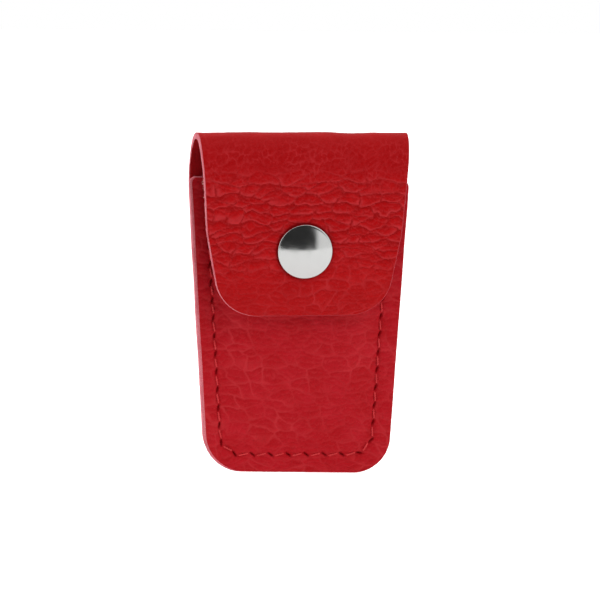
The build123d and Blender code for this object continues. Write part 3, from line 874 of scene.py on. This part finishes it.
def red_grain(name, deep, clear, crease_shade_strength, lip_highlight_strength):
    """Dyed and finished grain side, painted darker in the creases and slits as painted shade, and paler on
    the pebbles' lower lips and fine lines as painted highlight.
    """
    material, nodes, shader = named(name)
    group = hide(nodes, GRAIN_PORE)[0]
    crease, lip, tone, slit = [mask(nodes, key) for key in ("crease", "lip", "tone", "slit")]
    body = nodes.mix(nodes.span(group.outputs["Blotch"], 0.3, 0.7), deep, clear)
    # The tone mask is the pebbles' own darker dye, and painted shade under the roll; the crease and slit
    # masks are painted shade; the fine lines and the lips are painted highlight.
    shades = (
        (tone, 0.35, PEBBLE_TONE_AND_SHADE_RED), (crease, crease_shade_strength, CREASE_SHADE_RED), (group.outputs["Lines"], 0.12, LINE_HIGHLIGHT_RED),
        (lip, lip_highlight_strength, LIP_HIGHLIGHT_RED), (slit, 0.9, SLIT_SHADE_RED),
    )
    for where, strength, colour in shades:
        body = nodes.mix(nodes.math("MULTIPLY", where, strength), body, colour)
    rough = nodes.span(group.outputs["Height"], 0.2, 0.8, 0.40, 0.54)
    rough = nodes.math("ADD", rough, nodes.math("MULTIPLY", crease, 0.15))
    nodes.dress(shader, Base_Color=body, Roughness=rough, Specular_IOR_Level=0.07)
    fine_relief(nodes, shader, group.outputs["Height"], 0.5, 0.00006)
    return material


def raw_edge():
    """Cut edge: pale pink fibres, with dye soaked in from the grain side; the dyed band is painted paler on
    the left and darker on the right, as painted light and shade.
    """
    material, nodes, shader = named("raw_cut_edge")
    group, flat = hide(nodes, EDGE_PORE)
    across, run, depth = nodes.add("ShaderNodeSeparateXYZ", Vector=flat).outputs
    dyed = nodes.span(depth, 0.02, 0.30, 1.0, 0.0)
    # The dyed band shows little on the left and much on the right: painted light on the left edges, painted
    # shade on the right ones.
    shaded_to_right = nodes.span(across, -17.0, -8.0, 0.2, 0.9)
    streak = nodes.span(group.outputs["Height"], 0.25, 0.75)
    body = nodes.mix(streak, linear(234, 116, 130), linear(255, 188, 194))
    body = nodes.mix(nodes.span(group.outputs["Blotch"], 0.42, 0.7, 0.0, 0.55), body, linear(210, 84, 98))
    body = nodes.mix(nodes.math("MULTIPLY", dyed, shaded_to_right), body, linear(188, 34, 42))
    nodes.dress(shader, Base_Color=body, Roughness=0.92, Specular_IOR_Level=0.15)
    fine_relief(nodes, shader, group.outputs["Height"], 0.9, 0.0001)
    return material


def flesh_side():
    """Unlined flesh side: short red suede."""
    material, nodes, shader = named("red_flesh_side")
    group = hide(nodes, NAP_PORE)[0]
    body = nodes.mix(nodes.span(group.outputs["Height"], 0.3, 0.7), linear(150, 12, 18), linear(184, 28, 34))
    body = nodes.mix(nodes.span(group.outputs["Blotch"], 0.3, 0.7, 0.0, 0.8), body, linear(168, 20, 26))
    nodes.dress(shader, Base_Color=body, Roughness=0.95, Specular_IOR_Level=0.1)
    fine_relief(nodes, shader, group.outputs["Height"], 0.8, 0.00012)
    return material


def pale_fibre():
    """Loose leather fibre, undyed in places."""
    material, nodes, shader = named("pale_leather_fibre")
    place = nodes.add("ShaderNodeTexCoord").outputs["Object"]
    patch = nodes.add("ShaderNodeTexNoise", Vector=place, Scale=1500.0, Detail=2.0)
    undyed = nodes.span(patch.outputs["Fac"], 0.35, 0.65)
    body = nodes.mix(undyed, linear(244, 160, 150), linear(254, 222, 214))
    nodes.dress(shader, Base_Color=body, Roughness=0.9)
    return material


def sewing_thread():
    """Red bonded thread with fine filaments along each ply."""
    material, nodes, shader = named("red_sewing_thread")
    place = nodes.add("ShaderNodeAttribute", {"attribute_name": "thread_mm"})
    fibre = nodes.add("ShaderNodeTexNoise", Vector=place.outputs["Vector"], Scale=3.0, Detail=3.0)
    body = nodes.mix(nodes.span(fibre.outputs["Fac"], 0.3, 0.7), linear(202, 38, 44), linear(226, 76, 80))
    nodes.dress(shader, Base_Color=body, Roughness=0.5, Specular_IOR_Level=0.15)
    fine_relief(nodes, shader, fibre.outputs["Fac"], 0.4, 0.00003)
    return material


def steel(name, colour, roughness, scratch):
    """Nickel-plated steel with fine handling marks."""
    material, nodes, shader = named(name)
    place = nodes.add("ShaderNodeTexCoord").outputs["Object"]
    haze = nodes.add("ShaderNodeTexNoise", Vector=place, Scale=420.0, Detail=4.0)
    rub = nodes.add("ShaderNodeTexNoise", Vector=place, Scale=2600.0, Detail=2.0)
    dull = tuple(0.93 * channel for channel in colour[:3]) + (1.0,)
    body = nodes.mix(haze.outputs["Fac"], colour, dull)
    rough = nodes.span(haze.outputs["Fac"], 0.3, 0.7, roughness, roughness * 1.5)
    nodes.dress(shader, Base_Color=body, Roughness=rough, Metallic=1.0)
    fine_relief(nodes, shader, rub.outputs["Fac"], scratch, 0.000004)
    return material


# The front's copy is paler and bluer than the flap's: painted sheen, the haze of light the panel reflects.
FLAP_GRAIN = red_grain("red_grain_flap", linear(179, 5, 9), linear(188, 12, 16), 0.7, 0.5)
FRONT_GRAIN = red_grain("red_grain_front", linear(180, 16, 27), linear(188, 24, 37), 0.35, 0.62)
RAW_EDGE, FLESH = raw_edge(), flesh_side()
FIBRE = pale_fibre()
THREAD = sewing_thread()
POLISHED = steel("polished_nickel", (0.62, 0.62, 0.61, 1.0), 0.12, 0.05)
PLAIN_METAL = steel("plain_nickel", (0.62, 0.62, 0.60, 1.0), 0.28, 0.3)


# ---------------------------------------------------------------- leather pieces
CAP_SHADOW_LINE = 0.28           # half the width of the painted shadow line round the cap


def strap_surface(x, run):
    """Relief of the long piece, with the seam's stitches sunk into the back."""
    height, crease, lip, tone = strap_grain(x, run)
    sink, slit = np.zeros_like(x), np.zeros_like(x)
    back = run[:, 0] < MOUTH_HEIGHT + 2
    sink[back], slit[back] = seam_sink(x[back], run[back], -1)
    reach = np.hypot(x - CAP_CENTRE[0], run - RUN_SNAP)
    # A painted shadow line round the cap's rim joins the slits' painted shade.
    slit = np.maximum(slit, np.exp(-(((reach - CAP_RADIUS) / CAP_SHADOW_LINE) ** 2)))
    return height - sink, {"crease": crease, "lip": lip, "tone": tone, "slit": slit}


def panel_surface(x, run):
    """Relief of the front panel, with the seam's stitches sunk into its margin."""
    height, crease, lip, tone = panel_grain(x, run)
    sink, slit = seam_sink(x, run, 1)
    return height - sink, {"crease": crease, "lip": lip, "tone": tone, "slit": slit}


def run_at(height):
    """Where the flap's fall reaches a height."""
    return RUN_FALL + (FALL_TOP[1] - height) / cos(LEAN)


def strap_spacing(run):
    """From row to row of the long piece's mesh."""
    return np.where(run < RUN_ROLL, BACK_SPACING, FINE_SPACING)


def panel_spacing(run):
    """From row to row of the front panel's mesh."""
    return np.full_like(run, FINE_SPACING)


def long_piece():
    """Back, roll and flap, one cut piece of leather in three lengths that meet at the fold's strips."""
    outlines = []
    for rise, corner in ((FOOT_RISE_LEFT, FOOT_CORNER_LEFT), (0.0, FOOT_CORNER_RIGHT)):
        outline = [
            (0, rise), (FOOT_HALF_WIDTH, rise), (MOUTH_HALF_WIDTH, MOUTH_HEIGHT), (ROLL_HALF_WIDTH, RUN_TOP),
            (WAIST_HALF_WIDTH, run_at(WAIST_HEIGHT)), (TIP_HALF_WIDTH, RUN_TIP), (0, RUN_TIP),
        ]
        outlines.append((outline, [corner, MOUTH_BEND, 0, WAIST_RADIUS, TIP_CORNER]))
    edges = both_edges(outlines, strap_spacing)
    sheet = leather_sheet(*edges, STRAP_BEVELS, STRAP_COLUMNS, place_strap, strap_surface, 71)
    bends = [SWEEP / HINGES * k for k in range(HINGES + 1)]
    cuts = [0]
    for bend in bends[1:-1]:
        row = int(np.argmin(np.abs(sheet["runs"] - RUN_ROLL - ROLL_RADIUS * bend)))
        cuts.append(row // COARSE * COARSE)
    cuts.append(len(sheet["grid"]) - 1)
    made = [
        ("back_leather", "pouch", "fold_1", ["back_panel"]),
        ("roll_leather", "fold_1", "fold_2", ["fold_strip_1"]),
        ("flap_leather", "fold_2", "flap", ["fold_strip_2", "flap_panel"]),
    ]
    for k, (name, before, after, nodes) in enumerate(made):
        piece = leather_piece(name, sheet, cuts[k], cuts[k + 1], [FLAP_GRAIN, RAW_EDGE, FLESH])
        for row, bend in ((cuts[k], bends[k]), (cuts[k + 1], bends[k + 1])):
            if 0 < row < len(sheet["grid"]) - 1:
                bend = (sheet["runs"][row] - RUN_ROLL) / ROLL_RADIUS
        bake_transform(piece)
        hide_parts(*nodes)


def front_leather():
    """The pocket's front, sewn down along its sides and foot."""
    outlines = []
    sides = ((FOOT_RISE_LEFT, FOOT_CORNER_LEFT, MOUTH_LIFT_LEFT), (0.0, FOOT_CORNER_RIGHT, MOUTH_LIFT_RIGHT))
    for rise, corner, lift in sides:
        mouth = MOUTH_HEIGHT + lift
        outline = [(0, rise), (FOOT_HALF_WIDTH, rise), (MOUTH_HALF_WIDTH, mouth), (0, mouth)]
        outlines.append((outline, [corner, MOUTH_CORNER]))
    edges = both_edges(outlines, panel_spacing)
    sheet = leather_sheet(*edges, PANEL_BEVELS, PANEL_COLUMNS, place_panel, panel_surface, 81)
    piece = leather_piece("front_leather", sheet, 0, len(sheet["grid"]) - 1, [FRONT_GRAIN, RAW_EDGE, FLESH])
    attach(piece, "pouch")
    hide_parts("front_panel")


# ---------------------------------------------------------------- threads
def thread_path(side):
    """The middle of a thread. It leaves each slit at its forward end and enters the next at its near end."""
    points = []
    for start, end in zip(SEAM_HOLES, SEAM_HOLES[1:]):
        leg = end - start
        heading = slit_heading(leg, side)
        reach_out = STITCH_SWING * SLIT_LENGTH * np.array([cos(heading), sin(heading)])
        count = int(np.hypot(*leg) / THREAD_STEP)
        share = np.arange(count) / count
        along = ease(0.0, STITCH_TURN, share) - ease(1 - STITCH_TURN, 1.0, share)
        swing = reach_out[None, :] * (along * (1 - 2 * share))[:, None]
        sink = THREAD_SEAT + THREAD_DIVE * ease(DIVE_START, DIVE_END, np.abs(2 * share - 1))
        spots = start + share[:, None] * leg + swing
        points.append(np.stack([spots[:, 0], side * (LEATHER - sink), spots[:, 1]], axis=-1))
    return np.concatenate(points)


def stitched_thread(name, side, node):
    """One thread of the seam: two plies twisted round each other."""
    path = thread_path(side)
    ahead = np.gradient(path, axis=0)
    ahead /= np.linalg.norm(ahead, axis=1, keepdims=True)
    out = np.array([0.0, side, 0.0]) - ahead * (ahead[:, 1:2] * side)
    out /= np.linalg.norm(out, axis=1, keepdims=True)
    aside = np.cross(ahead, out)
    travel = np.concatenate([[0], np.cumsum(np.linalg.norm(np.diff(path, axis=0), axis=1))])
    angle = 2 * pi * np.arange(THREAD_SIDES) / THREAD_SIDES
    across, beside = np.cos(angle)[None, :, None], np.sin(angle)[None, :, None]
    verts, faces, marks = [], [], []
    for ply in (0, 1):
        phase = 2 * pi * travel / TWIST_PITCH + pi * ply
        middle = path + PLY_OFFSET * (np.cos(phase)[:, None] * out + np.sin(phase)[:, None] * aside)
        ring = middle[:, None, :] + PLY_RADIUS * (across * out[:, None, :] + beside * aside[:, None, :])
        number = ply * ring[..., 0].size + np.arange(ring[..., 0].size).reshape(len(path), THREAD_SIDES)
        turned = np.roll(number, -1, axis=1)
        verts.append(ring.reshape(-1, 3))
        faces += quads(number[:-1], turned[:-1], turned[1:], number[1:]).tolist()
        faces += [number[0, ::-1].tolist(), number[-1].tolist()]
        marks.append(np.stack([
            np.repeat(travel, THREAD_SIDES) * PLY_MARK_SCALE,
            np.tile(np.cos(angle), len(path)),
            np.tile(np.sin(angle), len(path)) + ply,
        ], axis=-1))
    verts = np.concatenate(verts)
    mesh = simple_mesh(name, in_case(verts[:, 0], verts[:, 1], verts[:, 2]), faces, THREAD, True)
    thread_mm = mesh.attributes.new("thread_mm", "FLOAT_VECTOR", "POINT")
    thread_mm.data.foreach_set("vector", np.concatenate(marks).astype(np.float32).ravel())
    piece = in_scene(name, mesh)
    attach(piece, "pouch")
    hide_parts(node)


# ---------------------------------------------------------------- snap
CAP_CROWN = 1.6           # the top of the dome and of its rim, above the flap
CAP_RIM = 0.5
CAP_ROUND = 0.42          # the rim turns over within this width
CAP_ROUND_DROP = 0.26     # and falls by up to twice this
CAP_ROUND_TURN = 0.86     # in half turns
CAP_UNDERSIDE = [(0.2, 0.1), (0.3, 0.03), (1.2, 0.02)]   # (in from the rim, above the flap)
CAP_SIDES = 128


def cap_profile():
    """(radius, height above the flap) from the top of the dome, round the rim and back under it."""
    rise = CAP_CROWN - CAP_RIM
    sphere = (CAP_RADIUS**2 + rise**2) / (2 * rise)
    profile = []
    for radius in np.linspace(0, CAP_RADIUS - CAP_ROUND, 40):
        profile.append((radius, CAP_RIM + np.sqrt(sphere**2 - radius**2) - (sphere - rise)))
    edge_radius, edge_height = profile[-1]
    for turn in np.linspace(0, 1, 12)[1:]:
        angle = turn * pi * CAP_ROUND_TURN
        radius = edge_radius + CAP_ROUND * sin(angle)
        profile.append((radius, edge_height - CAP_ROUND_DROP * (1 - cos(angle))))
    for inset, height in CAP_UNDERSIDE:
        profile.append((CAP_RADIUS - inset, height))
    return profile + [(0.0, CAP_UNDERSIDE[-1][1])]


def polished_cap():
    """The snap's cap: a shallow polished dome over a rolled rim, closed underneath."""
    profile = cap_profile()
    seat = [FALL_TOP[k] + DOWNWARD[k] * SNAP_DOWN for k in (0, 1)]

    def spot(x, down, lift):
        depth, height = [seat[k] + DOWNWARD[k] * down + FORWARD[k] * lift for k in (0, 1)]
        return CAP_CENTRE[0] + x, SEAM_Y - depth, height

    verts, faces = [], []
    for radius, lift in profile[1:-1]:
        for k in range(CAP_SIDES):
            angle = 2 * pi * k / CAP_SIDES
            verts.append(spot(radius * cos(angle), radius * sin(angle), lift))
    verts += [spot(0.0, 0.0, profile[0][1]), spot(0.0, 0.0, profile[-1][1])]
    top, bottom = len(verts) - 2, len(verts) - 1
    rings = len(profile) - 2
    for k in range(CAP_SIDES):
        beside = (k + 1) % CAP_SIDES
        faces.append((top, beside, k))
        for ring in range(rings - 1):
            a, b = ring * CAP_SIDES + k, ring * CAP_SIDES + beside
            faces.append((a, b, b + CAP_SIDES, a + CAP_SIDES))
        faces.append((bottom, (rings - 1) * CAP_SIDES + k, (rings - 1) * CAP_SIDES + beside))
    mesh = simple_mesh("snap_cap_dome", np.array(verts) * MM, faces, POLISHED, True)
    piece = in_scene("snap_cap_dome", mesh)
    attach(piece, "flap")
    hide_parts("snap_cap")


def loose_fibres():
    """Short fibres that have come away from the flap's left cut edge."""
    random = np.random.default_rng(91)
    taper = ROLL_HALF_WIDTH - WAIST_HALF_WIDTH
    verts, faces = [], []
    for _ in range(FIBRES):
        run = RUN_FALL + 0.4 + FIBRE_REACH * random.random() ** 1.5
        share = (run - RUN_TOP) / (run_at(WAIST_HEIGHT) - RUN_TOP)
        x = taper * share - ROLL_HALF_WIDTH + FIBRE_INSET
        length, lean, lift = random.uniform(0.35, 0.95), random.uniform(-0.9, 0.5), random.uniform(-0.3, 0.7)
        curl = random.uniform(-0.5, 0.5)
        root = len(verts)
        for ring, along in enumerate(np.linspace(0, 1, 6)):
            radius = FIBRE_RADIUS * (1 - 0.7 * along)
            reach = length * along
            middle = (x - reach * 0.8, run + reach * lean + curl * reach**2, FIBRE_ROOT - reach * lift)
            for turn in (0, 2.1, 4.2):
                verts.append((middle[0], middle[1] + radius * cos(turn), middle[2] + radius * sin(turn)))
            if ring:
                a = len(verts) - 6
                faces += [(a, a + 1, a + 4, a + 3), (a + 1, a + 2, a + 5, a + 4), (a + 2, a, a + 3, a + 5)]
        tip = len(verts) - 3
        faces += [(tip + 2, tip + 1, tip), (root, root + 1, root + 2)]
    verts = np.array(verts)
    points = place_strap(verts[:, 0], verts[:, 1], verts[:, 2])
    piece = in_scene("edge_fibres", simple_mesh("edge_fibres", points, faces, FIBRE, False))
    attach(piece, "flap")


def metal_parts():
    """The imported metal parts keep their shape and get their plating."""
    for node in ("cap_post", "snap_socket", "socket_spring", "snap_stud", "stud_eyelet"):
        part = frame["nodes"][node]
        part.data.materials.clear()
        part.data.materials.append(PLAIN_METAL)


# ---------------------------------------------------------------- studio
WHITE = (1.0, 1.0, 1.0, 1.0)
CAMERA_DISTANCE = 500.0
CAMERA_AZIMUTH = -8.0
CAMERA_ELEVATION = 9.0
CAMERA_ROLL = 0.77
CAMERA_LENS = 129.9
CAMERA_AIM = (0.07, 2.3, 41.55)
FLOOR_FRONT = -225.0      # the paper ends a forearm's length in front of the case
FLOOR_BACK = 3000.0
FLOOR_HALF_WIDTH = 1600.0
FLOOR_DROP = -0.3         # and lies this far under it
FLOOR_GLOW = 0.34
LEFT_GLOW = 0.9           # a window on the left
FRONT_GLOW = 0.95
BACK_GLOW = 0.6
DARK_DEPTH = 0.965        # how much of the glow is missing from the dark gap
LAMP_POWER = 1.35
LAMP_PLACE = (0.14, -0.5, 0.5)
LAMP_SIZE = (0.5, 0.4)
LAMP_TARGET = (0, 0, 0.05)


def camera():
    """A long lens, a little to the left and above."""
    azimuth, elevation = radians(CAMERA_AZIMUTH), radians(CAMERA_ELEVATION)
    back = Vector((sin(azimuth) * cos(elevation), -cos(azimuth) * cos(elevation), sin(elevation)))
    data = bpy.data.cameras.new("camera")
    data.lens = CAMERA_LENS
    data.sensor_width = 36.0
    data.clip_start, data.clip_end = 0.01, 50.0
    made = in_scene("camera", data)
    made.location = (Vector(CAMERA_AIM) + back * CAMERA_DISTANCE) * MM
    made.rotation_mode = "QUATERNION"
    made.rotation_quaternion = (-back).to_track_quat("-Z", "Y") @ Quaternion((0, 0, 1), radians(CAMERA_ROLL))
    bpy.context.scene.camera = made


def floor():
    """A pale sheet of paper under the case and behind it, glowing: fully white where the camera sees it, and
    at FLOOR_GLOW as painted light from below on the case.
    """
    outline = ((-1, FLOOR_FRONT), (1, FLOOR_FRONT), (1, FLOOR_BACK), (-1, FLOOR_BACK))
    corners = np.array([(side * FLOOR_HALF_WIDTH, reach, FLOOR_DROP) for side, reach in outline]) * MM
    material, nodes, shader = named("pale_paper")
    paper = nodes.add("ShaderNodeTexNoise", Scale=90.0, Detail=3.0)
    body = nodes.mix(paper.outputs["Fac"], (0.78, 0.78, 0.78, 1.0), (0.81, 0.81, 0.81, 1.0))
    # Painted light: the paper glows, fully to the camera and at FLOOR_GLOW as light from below on the case.
    seen = nodes.add("ShaderNodeLightPath").outputs["Is Camera Ray"]
    glow = nodes.span(seen, 0.0, 1.0, FLOOR_GLOW, 1.0)
    nodes.dress(shader, Base_Color=body, Roughness=0.9, Emission_Color=WHITE, Emission_Strength=glow)
    made = in_scene("studio_floor", simple_mesh("studio_floor", corners, [(0, 1, 2, 3)], material, False))


def studio_light():
    """A softly lit room with one broad lamp in front, hidden from reflections.

    The room glows in front and at the sides, less behind, and has a dark gap behind the camera.
    """
    world = bpy.data.worlds.new("studio")
    bpy.context.scene.world = world
    world.use_nodes = True
    nodes = Nodes(world.node_tree)
    background = world.node_tree.nodes["Background"]
    where = nodes.add("ShaderNodeTexCoord").outputs["Generated"]
    x, y, z = nodes.add("ShaderNodeSeparateXYZ", Vector=where).outputs
    bearing = nodes.math("ARCTAN2", x, nodes.math("MULTIPLY", y, -1.0))

    def past(angle, start, end):
        """1 beyond an angle in degrees and 0 before it."""
        return nodes.span(angle, radians(start), radians(end))

    def before(angle, start, end):
        """0 beyond an angle in degrees and 1 before it."""
        return nodes.span(angle, radians(start), radians(end), 1.0, 0.0)

    sides = nodes.math("MULTIPLY", past(bearing, -62, -48), before(bearing, 20, 28))
    dark = nodes.math("MULTIPLY", sides, before(nodes.math("ARCSINE", z), 48, 64))
    glow = nodes.span(y, -0.25, 0.35, FRONT_GLOW, BACK_GLOW)
    glow = nodes.math("MULTIPLY", glow, nodes.math("SUBTRACT", 1.0, nodes.math("MULTIPLY", dark, DARK_DEPTH)))
    window = nodes.math("MULTIPLY", before(bearing, -76, -64), past(bearing, -150, -130))
    glow = nodes.math("ADD", glow, nodes.math("MULTIPLY", window, LEFT_GLOW))
    seen = nodes.add("ShaderNodeLightPath").outputs["Is Camera Ray"]
    strength = nodes.math("ADD", nodes.math("MULTIPLY", glow, nodes.math("SUBTRACT", 1.0, seen)), seen)
    nodes.put(background, "Strength", strength)
    background.inputs["Color"].default_value = WHITE
    lamp = bpy.data.lights.new("front_softbox", "AREA")
    lamp.shape = "RECTANGLE"
    lamp.size, lamp.size_y = LAMP_SIZE
    lamp.energy = LAMP_POWER
    made = in_scene("front_softbox", lamp)
    made.location = LAMP_PLACE
    made.rotation_euler = (Vector(LAMP_TARGET) - made.location).to_track_quat("-Z", "Y").to_euler()
    made.visible_glossy = False


def colour_management():
    """Plain display colours, so that the red stays as saturated as the dye."""
    settings = bpy.context.scene.view_settings
    settings.view_transform = "Standard"
    settings.look = "None"
    settings.exposure = 0.0
    settings.gamma = 1.0


camera()
floor()
studio_light()
colour_management()
long_piece()
front_leather()
stitched_thread("front_stitches", 1, "needle_thread")
stitched_thread("back_stitches", -1, "bobbin_thread")
polished_cap()
loose_fibres()
metal_parts()
